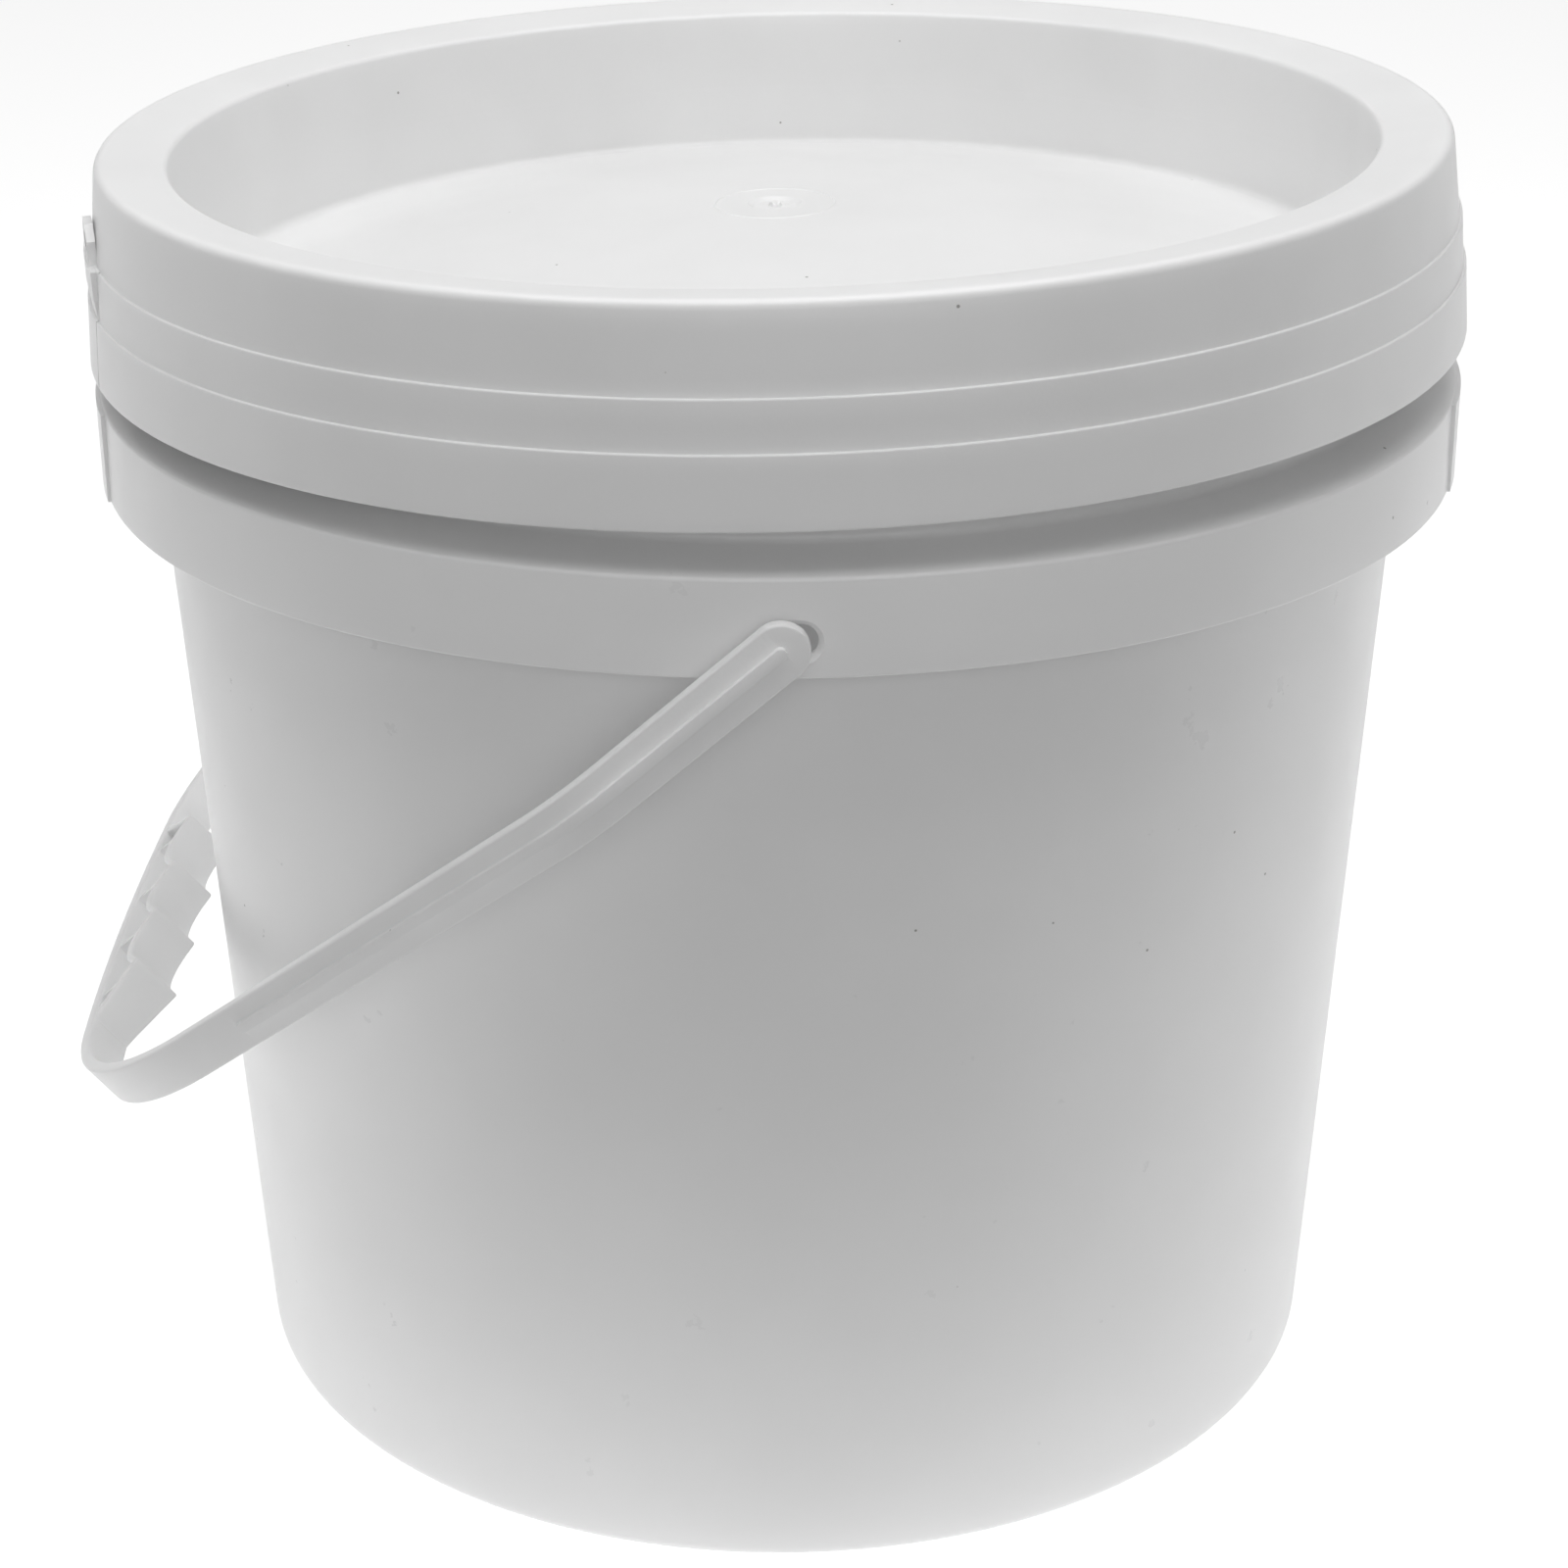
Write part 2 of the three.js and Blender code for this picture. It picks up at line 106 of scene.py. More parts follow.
def turnedGrid(profile, angles):
    # Point (i, j) is the profile's point i carried round the Z axis by angle j:
    # x = radius * cos(angle), y = radius * sin(angle), z = height.
    radius, height = profile[:, :1], profile[:, 1:]
    flat = np.ones_like(angles)
    return np.stack([radius * np.cos(angles), radius * np.sin(angles), height * flat], axis=-1)


def gridFaces(rows, columns):
    # One quad between neighbouring rows and columns. The columns close on themselves.
    index = np.arange(rows * columns).reshape(rows, columns)
    index = np.hstack([index, index[:, :1]])
    corners = [index[:-1, :-1], index[:-1, 1:], index[1:, 1:], index[1:, :-1]]
    return np.stack(corners, axis=-1).reshape(-1, 4).tolist()


def meshPiece(name, points, faces):
    # Doubles are merged, which closes poles and pinched ends, and the faces are turned outwards.
    mesh = bpy.data.meshes.new(name)
    mesh.from_pydata((points.reshape(-1, 3) * metres).tolist(), [], faces)
    work = bmesh.new()
    work.from_mesh(mesh)
    bmesh.ops.remove_doubles(work, verts=work.verts, dist=1e-6)
    bmesh.ops.recalc_face_normals(work, faces=work.faces)
    work.to_mesh(mesh)
    work.free()
    piece = bpy.data.objects.new(name, mesh)
    bpy.context.scene.collection.objects.link(piece)
    return piece


def surface(name, grid):
    return meshPiece(name, grid, gridFaces(*grid.shape[:2]))


def prism(name, layers):
    # Row k is one closed outline; the first and last outlines are capped.
    rows, columns = layers.shape[:2]
    caps = [list(range(columns))[::-1], list(range((rows - 1) * columns, rows * columns))]
    return meshPiece(name, layers, gridFaces(rows, columns) + caps)


def combine(piece, operation, tools):
    # Joins the tools to the piece or cuts them out of it, and keeps the result as its own mesh.
    for tool in tools:
        modifier = piece.modifiers.new(operation, "BOOLEAN")
        modifier.operation = operation
        modifier.solver = "MANIFOLD"
        modifier.object = tool
    seen = piece.evaluated_get(bpy.context.evaluated_depsgraph_get())
    piece.data = bpy.data.meshes.new_from_object(seen)
    piece.modifiers.clear()
    for tool in tools:
        bpy.data.objects.remove(tool)


def obround(travel, radius, count=24):
    # Two half circles, the second one moved by travel along x, as one closed outline.
    angles = np.linspace(-90, 90, count)
    near, far = np.radians(angles), np.radians(angles + 180)
    x = np.r_[travel + radius * np.cos(near), radius * np.cos(far)]
    return np.stack([x, np.r_[radius * np.sin(near), radius * np.sin(far)]], axis=1)


def turnedTo(points, angle):
    # Points made at +Y are turned about Z to an angle from the front pivot.
    turn = math.radians(180 - angle)
    x, y, z = points[..., 0], points[..., 1], points[..., 2]
    return np.stack(
        [x * math.cos(turn) - y * math.sin(turn), x * math.sin(turn) + y * math.cos(turn), z], axis=-1)


def withinSector(angles, start, end):
    place = (270 - np.degrees(angles)) % 360
    return (place > start) & (place < end)


def dress(piece, node, body, material, sharpAngle=32):
    # gives a piece its material and smooth shading, and puts it in the place of its plain solid
    piece.data.materials.clear()
    piece.data.materials.append(material)
    piece.data.shade_smooth()
    piece.data.set_sharp_from_angle(angle=math.radians(sharpAngle))
    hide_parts(node)
    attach(piece, body)
    print(piece.name, len(piece.data.polygons), "faces")


# Materials

def linear(hexColour):
    # sRGB hex to linear: a power of 2.4 above a short straight toe.
    value = np.array([int(hexColour[k:k + 2], 16) for k in (1, 3, 5)]) / 255
    channels = np.where(value <= 0.04045, value / 12.92, ((value + 0.055) / 1.055) ** 2.4)
    return (*channels.tolist(), 1)


def addNode(tree, kind, inputs=None, **settings):
    # inputs gives each socket a value or another node's output.
    node = tree.nodes.new(kind)
    for name, value in settings.items():
        setattr(node, name, value)
    for socket, value in (inputs or {}).items():
        if isinstance(value, bpy.types.NodeSocket):
            tree.links.new(value, node.inputs[socket])
        else:
            node.inputs[socket].default_value = value
    return node


bodyFinish = {
    "light": "#F5F5F5", "dark": "#F0F0F0", "cloud": 70, "cloudRange": (0.35, 0.65),
    "roughness": (0.27, 0.36), "sheenRange": (0.3, 0.7),
    "speckCell": 17, "speckRadius": 0.36, "speck": "#77756F", "speckStrength": 0.75,
    "waveSize": 38, "waveDepth": 0.6,
    "grainSize": 0.9, "grainDepth": 0.03,
    "scratchSize": 26, "scratchWidth": 0.0018, "scratchDepth": 0.008, "scratchRoughness": 0.18,
    "patchRange": (0.56, 0.64),
    "bumpStrength": 0.5, "ior": 1.49, "translucent": 0.2, "depth": 3,
}
lidFinish = bodyFinish | {
    "roughness": (0.3, 0.4), "cloud": 55, "speckCell": 15, "waveSize": 30, "waveDepth": 0.4,
}
handleFinish = bodyFinish | {
    "roughness": (0.33, 0.42), "cloud": 40, "speckCell": 14, "waveSize": 16, "waveDepth": 0.12,
    "grainSize": 0.7, "grainDepth": 0.05,
}


def mouldedPolypropylene(name, look):
    # Injection moulded polypropylene, white: a soft waxy gloss that breaks up a little where the mould
    # was worn, light that sinks in under the skin, shallow waves from shrinkage, a few dark specks
    # from the melt and fine handling scratches.
    material = bpy.data.materials.new(name)
    material.use_nodes = True
    tree = material.node_tree
    tree.nodes.clear()
    place = addNode(tree, "ShaderNodeTexCoord").outputs["Object"]

    def perMetre(size):
        return 1 / (size * metres)

    def noise(size, detail=2, roughness=0.5):
        # the texture's scale is one over the pattern's real size
        node = addNode(tree, "ShaderNodeTexNoise",
                       {"Vector": place, "Scale": perMetre(size), "Detail": detail, "Roughness": roughness})
        return node.outputs["Fac"]

    def spread(value, fromLow, fromHigh, toLow, toHigh):
        node = addNode(tree, "ShaderNodeMapRange", {
            "Value": value, "From Min": fromLow, "From Max": fromHigh, "To Min": toLow, "To Max": toHigh})
        return node.outputs["Result"]

    clouds = spread(noise(look["cloud"], 3), *look["cloudRange"], 0, 1)
    white = addNode(tree, "ShaderNodeMix", {
        "Factor": clouds, 6: linear(look["light"]), 7: linear(look["dark"])}, data_type="RGBA")
    cells = addNode(tree, "ShaderNodeTexVoronoi", {"Vector": place, "Scale": perMetre(look["speckCell"])})
    speckEdge = look["speckRadius"] / look["speckCell"]
    specks = spread(cells.outputs["Distance"], speckEdge * 0.6, speckEdge, look["speckStrength"], 0)
    coloured = addNode(tree, "ShaderNodeMix", {
        "Factor": specks, 6: white.outputs[2], 7: linear(look["speck"])}, data_type="RGBA")

    # a scratch runs where a broad noise crosses its middle value, and only in a few patches
    wander = noise(look["scratchSize"], 1)
    offMiddle = addNode(tree, "ShaderNodeMath", {0: wander, 1: 0.5}, operation="SUBTRACT").outputs[0]
    nearMiddle = addNode(tree, "ShaderNodeMath", {0: offMiddle}, operation="ABSOLUTE").outputs[0]
    line = spread(nearMiddle, 0, look["scratchWidth"], 1, 0)
    patches = spread(noise(look["scratchSize"] / 2, 3), *look["patchRange"], 0, 1)
    scratches = addNode(tree, "ShaderNodeMath", {0: line, 1: patches}, operation="MULTIPLY").outputs[0]

    sheen = spread(noise(look["cloud"] / 6, 5, 0.62), *look["sheenRange"], *look["roughness"])
    rough = addNode(tree, "ShaderNodeMath", {0: scratches, 1: look["scratchRoughness"], 2: sheen},
                    operation="MULTIPLY_ADD")

    waves = addNode(tree, "ShaderNodeBump", {
        "Height": noise(look["waveSize"], 1), "Distance": look["waveDepth"] * metres,
        "Strength": look["bumpStrength"]})
    grain = addNode(tree, "ShaderNodeBump", {
        "Height": noise(look["grainSize"], 2), "Distance": look["grainDepth"] * metres,
        "Strength": look["bumpStrength"], "Normal": waves.outputs["Normal"]})
    scored = addNode(tree, "ShaderNodeBump", {
        "Height": scratches, "Distance": look["scratchDepth"] * metres,
        "Strength": look["bumpStrength"], "Normal": grain.outputs["Normal"]}, invert=True)

    shader = addNode(tree, "ShaderNodeBsdfPrincipled", {
        "Base Color": coloured.outputs[2], "Roughness": rough.outputs[0],
        "Normal": scored.outputs["Normal"], "IOR": look["ior"], "Subsurface Weight": look["translucent"],
        "Subsurface Radius": (1, 1, 1), "Subsurface Scale": look["depth"] * metres})
    addNode(tree, "ShaderNodeOutputMaterial", {"Surface": shader.outputs[0]})
    return material


# Bucket: floor, wall, mouth bead and collar, one moulding

bucket = {
    "baseRadius": 112.9, "wallDraft": 3.15, "wall": 1.8,
    "floor": 2.2, "footCorner": 2.2, "floorCorner": 5, "footWidth": 9, "centrePad": 30, "baseRecess": 1.2,
    "beadWidth": 1.5, "beadHeight": 6, "rimCorner": 0.8,
    "collarRadius": 133.8, "collarTop": 209.5, "collarBottom": 191.9, "collarDraft": 1.0, "collarWall": 1.8,
    "ledgeRise": 3.5, "ledgeCorner": 0.8, "edgeCorner": 0.4,
    "smallCorner": 0.3, "beadCorner": 0.5, "rootCorner": 1.5,
    "webCount": 24, "webThickness": 1.2, "webInset": 2.2,
    "stoutWebAngles": (45, 135, 225, 315), "stoutWebThickness": 2,
    "cheekProud": 0.5, "cheekFrom": 73, "cheekTo": 107,
    "slotRadius": 2.9, "slotTravel": 3.5, "slotChamfer": 1.15,
    "rowStep": 5,
}


def wallOuter(height):
    return bucket["baseRadius"] + height * math.tan(math.radians(bucket["wallDraft"]))


def collarOuter(height):
    drop = bucket["collarTop"] - height
    return bucket["collarRadius"] + drop * math.tan(math.radians(bucket["collarDraft"]))


def ledgeUnder(radius):
    # the ledge's underside climbs from the skirt to the wall in step with its top
    root = bucket["collarTop"] + bucket["ledgeRise"]
    slope = bucket["ledgeRise"] / (bucket["collarRadius"] - wallOuter(root))
    return bucket["collarTop"] - bucket["collarWall"] + (bucket["collarRadius"] - radius) * slope


def bucketWebs(bite=0.8):
    # Each web is a thin upright plate between wall and skirt, square to both.
    low = bucket["collarBottom"] + bucket["webInset"]
    inner = wallOuter(bucket["collarTop"]) - bite
    outer = collarOuter(bucket["collarTop"]) - bucket["collarWall"] + bite
    outline = np.array([
        [inner, low], [outer, low], [outer, ledgeUnder(outer) + bite], [inner, ledgeUnder(inner) + bite]])
    stout = {angle: bucket["stoutWebThickness"] for angle in bucket["stoutWebAngles"]}
    spacing = 360 / bucket["webCount"]
    plain = {(k + 0.5) * spacing: bucket["webThickness"] for k in range(bucket["webCount"])}
    for angle, thickness in (plain | stout).items():
        turn = math.radians(angle)
        side = np.array([thickness / 2, -thickness / 2])[:, None]
        radius, height = outline[:, 0] + 0 * side, outline[:, 1] + 0 * side
        layers = np.stack([
            radius * math.cos(turn) - side * math.sin(turn),
            radius * math.sin(turn) + side * math.cos(turn), height], axis=-1)
        yield prism("web", layers)


def bucketSlot(side):
    # The peg's hole through the collar, opening out to a chamfer at the outer face.
    face = collarOuter(pivotHeight)
    depths = np.array([-3, -bucket["slotChamfer"], 0, 1])
    grow = np.array([0, 0, bucket["slotChamfer"], bucket["slotChamfer"] + 1])
    rows = [obround(bucket["slotTravel"], bucket["slotRadius"] + more) for more in grow]
    layers = [np.c_[row[:, 0], np.full(len(row), side * (face + depth)), row[:, 1] + pivotHeight]
              for row, depth in zip(rows, depths)]
    return prism("slot", np.array(layers))


def makeBucket():
    b = bucket
    footInner = b["baseRadius"] - b["footWidth"]
    ledgeRoot = b["collarTop"] + b["ledgeRise"]
    underRoot = ledgeUnder(wallOuter(ledgeRoot))
    beadLow, beadOuter = bodyHeight - b["beadHeight"], wallOuter(bodyHeight) + b["beadWidth"]
    wall, recess, pad = b["wall"], b["baseRecess"], b["centrePad"]
    skirtTop = collarOuter(b["collarTop"]) - b["collarWall"]
    small, root, edge = b["smallCorner"], b["rootCorner"], b["edgeCorner"]
    profile = roundCorners([
        (0, 0), (pad, 0, small), (pad + recess, recess, small),
        (footInner - recess, recess, small), (footInner, 0, small),
        (b["baseRadius"], 0, b["footCorner"]),
        (wallOuter(underRoot), underRoot, root),
        (skirtTop, ledgeUnder(skirtTop), root),
        (collarOuter(b["collarBottom"]) - b["collarWall"], b["collarBottom"], edge),
        (collarOuter(b["collarBottom"]), b["collarBottom"], edge),
        (b["collarRadius"], b["collarTop"], b["ledgeCorner"]),
        (wallOuter(ledgeRoot), ledgeRoot, root),
        (wallOuter(beadLow), beadLow, small), (beadOuter, beadLow + b["beadWidth"], b["beadCorner"]),
        (beadOuter, bodyHeight, b["rimCorner"]),
        (wallOuter(bodyHeight) - wall, bodyHeight, b["rimCorner"]),
        (wallOuter(b["floor"]) - wall, b["floor"], b["floorCorner"]),
        (footInner, b["floor"], small), (footInner - recess, b["floor"] + recess, small),
        (pad + recess, b["floor"] + recess, small), (pad, b["floor"], small), (0, b["floor"]),
    ])
    profile = finer(profile, b["rowStep"])
    angles = roundAngles([b[edge] + side for edge in ("cheekFrom", "cheekTo") for side in (0, 180)])
    grid = turnedGrid(profile, angles)

    # the two side sectors of the collar's face stand on one upright cylinder, a little proud
    cheek = withinSector(angles, b["cheekFrom"], b["cheekTo"])
    cheek |= withinSector(angles, b["cheekFrom"] + 180, b["cheekTo"] + 180)
    onFace = (profile[:, 0] > collarOuter(b["collarTop"]) - 0.1) & (profile[:, 1] < b["collarTop"] - 0.35)
    cheekRadius = collarOuter(b["collarBottom"]) + b["cheekProud"]
    scale = np.where(onFace[:, None] & cheek, cheekRadius / np.maximum(profile[:, :1], 1), 1)
    grid[..., :2] *= scale[..., None]

    piece = surface("bucketBody", grid)
    combine(piece, "UNION", list(bucketWebs()))
    combine(piece, "DIFFERENCE", [bucketSlot(-1), bucketSlot(1)])
    return piece


# Lid: domed panel in a deep recess, flat rim and a skirt in three bands, one moulding

lid = {
    "radius": 135, "height": 38.2, "wall": 1.6,
    "rimOuter": 130.1, "rimInner": 117, "rimFall": 1.9,
    "lowStep": 13.1, "highStep": 22.2, "stepWidth": 0.6, "bandDraft": 3.5, "stepCorner": 0.3,
    "stepRoot": 0.15, "smallCorner": 0.3, "edgeCorner": 0.4, "kinkCorner": (2, 4),
    "recessFloor": 7, "kink": 20.1, "kinkRadius": 116.4, "recessRadius": 115.1, "domeRise": 14.7,
    "panelCorner": 1.6, "rimInnerCorner": 1.2, "rimOuterCorner": 1.8, "snapRidge": 0.5,
    "witnessRadius": 11.8, "witnessHeight": 0.14, "witnessWidth": 0.5,
    "dishRadius": 5, "dishDepth": 0.7, "nubRadius": 1, "nubHeight": 0.8,
    "tilt": 1.0, "seatGap": 0.35,
    "slitAngle": 71, "slitWidth": 0.8,
    "tabFrom": 71.6, "tabTo": 88, "tabProud": 0.5, "tabSlitAngle": 82, "tabSlitHeight": 6,
    "windowAngle": 76.5, "windowWidth": 8.5, "windowHeight": 3.8, "windowFrame": 2.2,
    "rowStep": 4,
}


def domeHeight(radius):
    # a shallow parabola: full rise on the axis, none at the recess wall
    return lid["recessFloor"] + lid["domeRise"] * (1 - (radius / lid["recessRadius"]) ** 2)


def hexagonBlock(width, height, middle, inner, outer):
    # A six-sided prism that points outwards, its top corners cut.
    w, h = width / 2, height / 2
    outline = np.array([[-w, -h], [w, -h], [w, h / 3], [w / 2, h], [-w / 2, h], [-w, h / 3]])
    layers = [np.c_[outline[:, 0], np.full(6, depth), outline[:, 1] + middle] for depth in (outer, inner)]
    return prism("hexagon", turnedTo(np.array(layers), lid["windowAngle"]))


def slitBlock(angle, low, high):
    w, outer = lid["slitWidth"] / 2, lid["radius"] + 3 * lid["wall"]
    outline = np.array([[-w, low], [w, low], [w, high], [-w, high]])
    inner = lid["radius"] - 4 * lid["wall"]
    layers = [np.c_[outline[:, 0], np.full(4, depth), outline[:, 1]] for depth in (outer, inner)]
    return prism("slit", turnedTo(np.array(layers), angle))


def makeLid():
    d = lid
    slope = math.tan(math.radians(d["bandDraft"]))
    lowTop = d["radius"] - d["lowStep"] * slope
    midLow = lowTop - d["stepWidth"]
    midTop = midLow - (d["highStep"] - d["lowStep"]) * slope
    highLow = midTop - d["stepWidth"]
    rimSlope = d["rimFall"] / (d["rimOuter"] - d["rimInner"])
    ridge = highLow - d["wall"] - d["snapRidge"]

    def rimUnder(radius):
        return d["height"] - (d["rimOuter"] - radius) * rimSlope - d["wall"]

    dishFloor = domeHeight(0) - d["dishDepth"]
    underside = [(r, domeHeight(r) - d["wall"]) for r in (20, 38, 55, 72, 88, 103)]
    top = [(r, domeHeight(r)) for r in (105, 90, 75, 60, 45, 32, 20)]
    witness = [(d["witnessRadius"] + side * d["witnessWidth"] / 2,
                domeHeight(d["witnessRadius"]) + rise * d["witnessHeight"], 0.1)
               for side, rise in ((1, 0), (0.4, 1), (-0.4, 1), (-1, 0))]
    wall, small, edge = d["wall"], d["smallCorner"], d["edgeCorner"]
    profile = roundCorners([
        (0, domeHeight(0) - wall - d["dishDepth"]),
        (d["dishRadius"], domeHeight(d["dishRadius"]) - wall - d["dishDepth"], small),
        *underside,
        (d["recessRadius"] + wall, d["recessFloor"] - wall, d["panelCorner"]),
        (d["kinkRadius"] + wall, d["kink"], d["kinkCorner"][0]),
        (d["rimInner"] + wall, rimUnder(d["rimInner"]), d["rimInnerCorner"]),
        (d["rimOuter"] - wall, rimUnder(d["rimOuter"]), d["rimOuterCorner"]),
        (ridge + d["snapRidge"], d["highStep"] + 2 * d["snapRidge"], small),
        (ridge, d["highStep"], small),
        (midTop - wall, d["highStep"] - 2 * d["snapRidge"], small),
        (midLow - wall, d["lowStep"], small),
        (d["radius"] - wall, 0, edge), (d["radius"], 0, edge),
        (lowTop, d["lowStep"], d["stepCorner"]), (midLow, d["lowStep"], d["stepRoot"]),
        (midTop, d["highStep"], d["stepCorner"]), (highLow, d["highStep"], d["stepRoot"]),
        (d["rimOuter"] + d["stepWidth"], d["height"], d["rimOuterCorner"]),
        (d["rimInner"], d["height"] - d["rimFall"], d["rimInnerCorner"]),
        (d["kinkRadius"], d["kink"], d["kinkCorner"][1]),
        (d["recessRadius"], d["recessFloor"], d["panelCorner"]),
        *top, *witness,
        (d["dishRadius"] + 0.4, domeHeight(d["dishRadius"]), small),
        (d["dishRadius"] - d["dishDepth"], dishFloor, 0.5),
        (d["nubRadius"] + 0.3, dishFloor, 0.2), (d["nubRadius"], dishFloor + d["nubHeight"], 0.25),
        (0, dishFloor + d["nubHeight"]),
    ])
    profile = finer(profile, d["rowStep"])
    angles = roundAngles([d["tabFrom"], d["tabTo"]])
    grid = turnedGrid(profile, angles)

    # the pull tab is the middle band's face pushed out to one radius between its two ends
    tab = withinSector(angles, d["tabFrom"], d["tabTo"])
    onBand = (profile[:, 0] > midTop - 0.01) & (profile[:, 1] > d["lowStep"] + 0.3)
    onBand &= profile[:, 1] < d["highStep"] - 0.01
    tabRadius = midLow + d["tabProud"]
    scale = np.where(onBand[:, None] & tab, tabRadius / np.maximum(profile[:, :1], 1), 1)
    grid[..., :2] *= scale[..., None]

    # the torn gate leaves its nub uneven: its height waves round the turn, and fades out at the axis
    # and past the nub
    nub = np.clip(1 - profile[:, :1] / (2.2 * d["nubRadius"]), 0, 1) * (profile[:, 1:] > dishFloor - 0.1)
    nub *= np.minimum(1, profile[:, :1] / d["nubRadius"])
    grid[..., 2] += nub * 0.35 * (np.sin(2 * angles + 0.7) + 0.6 * np.sin(5 * angles))

    piece = surface("lidShell", grid)
    middle = d["highStep"] + (d["windowFrame"] + d["windowHeight"]) / 2
    frameSize = d["windowWidth"] + 2 * d["windowFrame"], d["windowHeight"] + 2 * d["windowFrame"]
    combine(piece, "UNION", [hexagonBlock(*frameSize, middle, midLow - d["wall"], midLow)])
    combine(piece, "DIFFERENCE", [
        hexagonBlock(d["windowWidth"], d["windowHeight"], middle, midLow - 5, midLow + 5),
        slitBlock(d["slitAngle"], -1, d["highStep"]),
        slitBlock(d["tabSlitAngle"], d["highStep"] - d["tabSlitHeight"], d["highStep"] - 0.8),
    ])

    # it sits on the mouth with a small gap, and is tilted up on the +X side
    seat, tilt = wallOuter(bodyHeight), math.radians(d["tilt"])
    lift = bodyHeight + d["seatGap"] + seat * math.sin(tilt) - rimUnder(seat)
    place = Matrix.Translation((0, 0, lift * metres)) @ Matrix.Rotation(-tilt, 4, "Y")
    piece.data.transform(place)
    return piece


# Handle: flat strap with a centre rib, a finger plate and a headed peg at each end, one moulding

handle = {
    "restAngle": 40.6, "reach": 183.6,
    "width": 10.2, "gripWidth": 9.4, "thickness": 2.6, "gap": 2.5, "edge": 0.55,
    "shoulderStart": 37, "shoulderRadius": 50, "shoulderTurn": 21, "cornerRadius": 58, "bow": 5,
    "ribWidth": 2.4, "ribHeight": 0.9, "ribReach": 130,
    # the rib's section as shares of its height and of its half width
    "ribShape": ((1, 1, 0.96, 0.84, 0.1, 0), (0, 0.74, 0.86, 0.93, 1, 1.15)),
    "fingerPitch": 24, "fingerCount": 3, "fingerDepth": 4, "crestDepth": 15.2, "crestRound": 0.5,
    "plateWidth": 11.6, "plateThickness": 1.8, "plateBite": 0.3, "rampLength": 12, "pocketRib": 1.2,
    "pegRadius": 2.4, "headRadius": 3.7, "headThickness": 1.6, "clearance": 0.35,
    "headCorner": 0.5, "pegCorner": 0.3, "pegSteps": 48,
    "stationStep": 1.2,
}


def handlePath():
    # The strap's outside face in plan. The heading grows with length in straight lines and arcs,
    # and the place is the running sum of (cos heading, sin heading) over very short lengths.
    # The sloping arm's length and the bow's radius are solved so that the grip meets its middle.
    h = handle
    turn, corner, bow = math.radians(h["shoulderTurn"]), math.radians(90 - h["bow"]), math.radians(h["bow"])
    face = collarOuter(pivotHeight) + h["gap"] + h["thickness"]
    alongLeft = (h["reach"] - h["shoulderStart"] - h["shoulderRadius"] * math.sin(turn)
                 - h["cornerRadius"] * (math.sin(corner) - math.sin(turn)))
    acrossLeft = (face - h["shoulderRadius"] * (1 - math.cos(turn))
                  - h["cornerRadius"] * (math.cos(turn) - math.cos(corner)))
    bowAlong, bowAcross = 1 - math.sin(corner), math.cos(corner)
    spread = math.cos(turn) * bowAcross - math.sin(turn) * bowAlong
    sloping = (alongLeft * bowAcross - acrossLeft * bowAlong) / spread
    bowRadius = (acrossLeft * math.cos(turn) - alongLeft * math.sin(turn)) / spread
    lengths = np.cumsum([
        0, h["width"] / 2 + h["shoulderStart"], h["shoulderRadius"] * turn, sloping,
        h["cornerRadius"] * (corner - turn), bowRadius * bow])
    headings = [0, 0, turn, turn, corner, math.pi / 2]
    fine = np.linspace(0, lengths[-1], 40001)
    heading = np.interp(fine, lengths, headings)
    middle = (heading[1:] + heading[:-1]) / 2
    along = -h["width"] / 2 + np.r_[0, np.cumsum(np.cos(middle) * np.diff(fine))]
    across = -face + np.r_[0, np.cumsum(np.sin(middle) * np.diff(fine))]
    return fine, heading, along, across


def strapSection(halfWidth, ribHalf):
    # One half of the closed section, from the middle of the rib round the edge to the middle of the
    # inside face: columns are the offset inwards and the place across the strap. The other half is
    # its mirror image.
    h = handle
    edge = np.minimum(h["edge"], halfWidth)[:, None]
    quarter = np.linspace(0, math.pi / 2, 5)
    rise = (ribHalf > 0.02)[:, None] * h["ribHeight"]  # a rib thinner than this is its pointed end
    ribIn, ribAcross = -rise * h["ribShape"][0], ribHalf[:, None] * h["ribShape"][1]
    halfWidth = halfWidth[:, None]
    outerIn, outerAcross = edge * (1 - np.cos(quarter)), halfWidth - edge * (1 - np.sin(quarter))
    innerIn = h["thickness"] - edge * (1 - np.sin(quarter))
    innerAcross = halfWidth - edge * (1 - np.cos(quarter))
    inwards = np.hstack([ribIn, outerIn, innerIn, np.full_like(edge, h["thickness"])])
    across = np.hstack([ribAcross, outerAcross, innerAcross, np.zeros_like(edge)])
    inwards = np.hstack([inwards, inwards[:, -2:0:-1]])
    return inwards, np.hstack([across, -across[:, -2:0:-1]])


